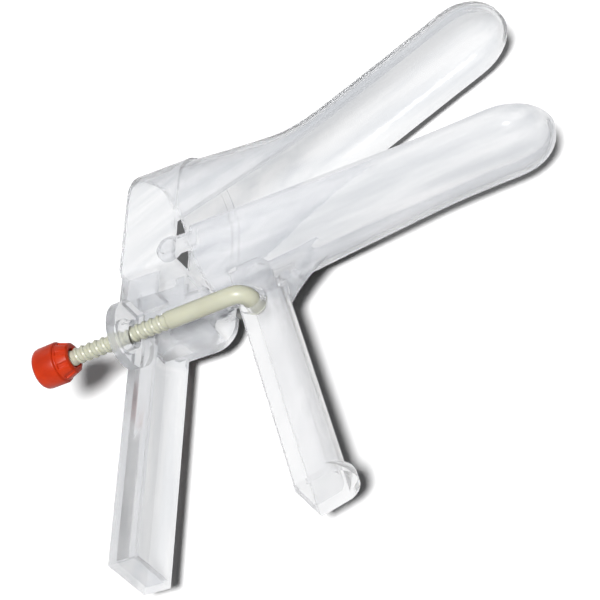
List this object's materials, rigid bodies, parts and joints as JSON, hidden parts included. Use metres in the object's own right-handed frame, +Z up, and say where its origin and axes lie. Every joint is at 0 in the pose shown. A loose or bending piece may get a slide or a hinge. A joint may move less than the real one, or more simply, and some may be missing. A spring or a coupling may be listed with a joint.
{
  "type": "bivalve speculum",
  "caption": "Clear moulded plastic bivalve speculum with duckbill blades, two channel handles and an ivory side screw with an orange lock nut.",
  "frame": {"origin": "on the hinge axis, in the plane of the flat side of the collar that the instrument rests on", "axes": "+X forward along the viewing axis, at right angles to the rear handle; +Y along the rear handle towards the collar's top, so both handles point to -Y; +Z up, along the hinge axis, towards the screw"},
  "size_m": [0.1816, 0.1852, 0.046],
  "materials": {
    "clear_upper": "clear gloss",
    "clear_lower": "clear gloss",
    "ivory_rod": "satin",
    "orange_nut": "satin"
  },
  "bodies": {
    "upper_valve_body": {"upper_valve": "clear_upper"},
    "lower_valve_body": {"lower_valve": "clear_lower"},
    "rod_body": {"threaded_rod": "ivory_rod"},
    "nut_body": {"lock_nut": "orange_nut"}
  },
  "joints": [
    {"name": "blade_hinge", "type": "hinge", "parent": "upper_valve_body", "child": "lower_valve_body", "pos_m": [0, 0, 0.02], "axis": [0, 0, 1], "range_deg": [-10, 22]},
    {"name": "rod_pivot", "type": "hinge", "parent": "lower_valve_body", "child": "rod_body", "pos_m": [0.0286, -0.0265, 0.0345], "axis": [0, 0, 1], "range_deg": [-8.8, 4.2]},
    {"name": "nut_travel", "type": "slide", "parent": "rod_body", "child": "nut_body", "axis": [0.9985, 0.0556, 0], "range_m": [0, 0.005]}
  ],
  "couplings": [
    {"joint": "rod_pivot", "follows": "blade_hinge", "ratio": -0.39}
  ]
}
